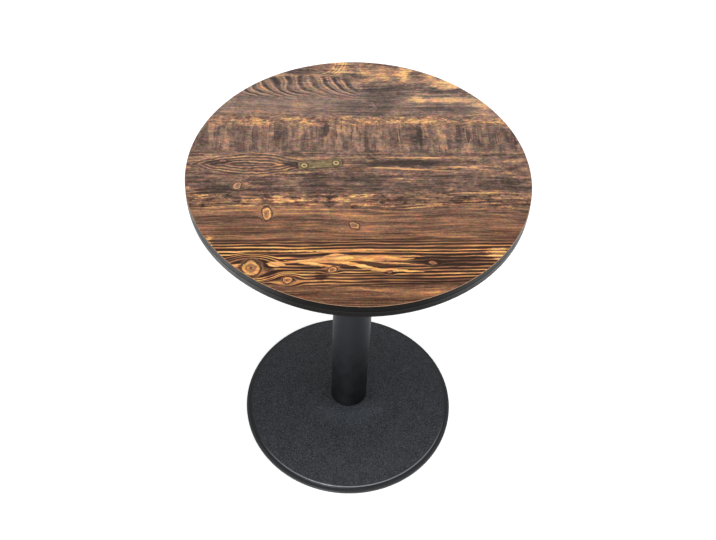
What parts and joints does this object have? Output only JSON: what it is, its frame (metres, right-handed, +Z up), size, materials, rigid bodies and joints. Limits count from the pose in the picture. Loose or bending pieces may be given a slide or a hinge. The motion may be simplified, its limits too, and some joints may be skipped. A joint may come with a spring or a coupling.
{
  "type": "round pedestal table",
  "caption": "Round pedestal table: wood-print top with a black moulded edge on a black tube column, clamped by a tie rod to a domed cast base with levelling glides.",
  "frame": {"origin": "on the floor, under the axis of the column", "axes": "+Z up along the column, X along the print's grain, the pictured front towards -Y"},
  "size_m": [0.6, 0.6, 0.75],
  "materials": {
    "wood_print": "satin laminate printed with dark rustic wood grain",
    "core_board": "raw particle board",
    "backing": "matt balancing sheet",
    "edge": "satin moulded edge",
    "casting": "black textured powder coat",
    "column": "black satin powder coat",
    "zinc": "zinc plated",
    "foot": "moulded, matt"
  },
  "bodies": {
    "table": {"top_laminate": "wood_print", "top_core": "core_board", "backing_sheet": "backing", "edge_band": "edge", "spider": "casting", "spider_screws": "zinc", "column_tube": "column", "tie_rod": "zinc", "top_washer": "zinc", "top_nut": "zinc", "bottom_washer": "zinc", "bottom_nut": "zinc", "base_casting": "casting"},
    "glide_foot_1": {"glide_foot_1": "foot"},
    "glide_stem_1": {"glide_stem_1": "zinc"},
    "glide_foot_2": {"glide_foot_2": "foot"},
    "glide_stem_2": {"glide_stem_2": "zinc"},
    "glide_foot_3": {"glide_foot_3": "foot"},
    "glide_stem_3": {"glide_stem_3": "zinc"},
    "glide_foot_4": {"glide_foot_4": "foot"},
    "glide_stem_4": {"glide_stem_4": "zinc"}
  },
  "joints": [
    {"name": "glide_1_rise", "type": "slide", "parent": "table", "child": "glide_foot_1", "axis": [0, 0, 1], "range_m": [-0.005, 0]},
    {"name": "glide_1_turn", "type": "hinge", "parent": "glide_foot_1", "child": "glide_stem_1", "pos_m": [0.13859, 0.13859, 0.005], "axis": [0, 0, 1], "range_deg": [-1440, 0]},
    {"name": "glide_2_rise", "type": "slide", "parent": "table", "child": "glide_foot_2", "axis": [0, 0, 1], "range_m": [-0.005, 0]},
    {"name": "glide_2_turn", "type": "hinge", "parent": "glide_foot_2", "child": "glide_stem_2", "pos_m": [-0.13859, 0.13859, 0.005], "axis": [0, 0, 1], "range_deg": [-1440, 0]},
    {"name": "glide_3_rise", "type": "slide", "parent": "table", "child": "glide_foot_3", "axis": [0, 0, 1], "range_m": [-0.005, 0]},
    {"name": "glide_3_turn", "type": "hinge", "parent": "glide_foot_3", "child": "glide_stem_3", "pos_m": [-0.13859, -0.13859, 0.005], "axis": [0, 0, 1], "range_deg": [-1440, 0]},
    {"name": "glide_4_rise", "type": "slide", "parent": "table", "child": "glide_foot_4", "axis": [0, 0, 1], "range_m": [-0.005, 0]},
    {"name": "glide_4_turn", "type": "hinge", "parent": "glide_foot_4", "child": "glide_stem_4", "pos_m": [0.13859, -0.13859, 0.005], "axis": [0, 0, 1], "range_deg": [-1440, 0]}
  ],
  "couplings": [
    {"joint": "glide_1_rise", "follows": "glide_1_turn", "m_per_rad": 0.00019894},
    {"joint": "glide_2_rise", "follows": "glide_2_turn", "m_per_rad": 0.00019894},
    {"joint": "glide_3_rise", "follows": "glide_3_turn", "m_per_rad": 0.00019894},
    {"joint": "glide_4_rise", "follows": "glide_4_turn", "m_per_rad": 0.00019894}
  ]
}
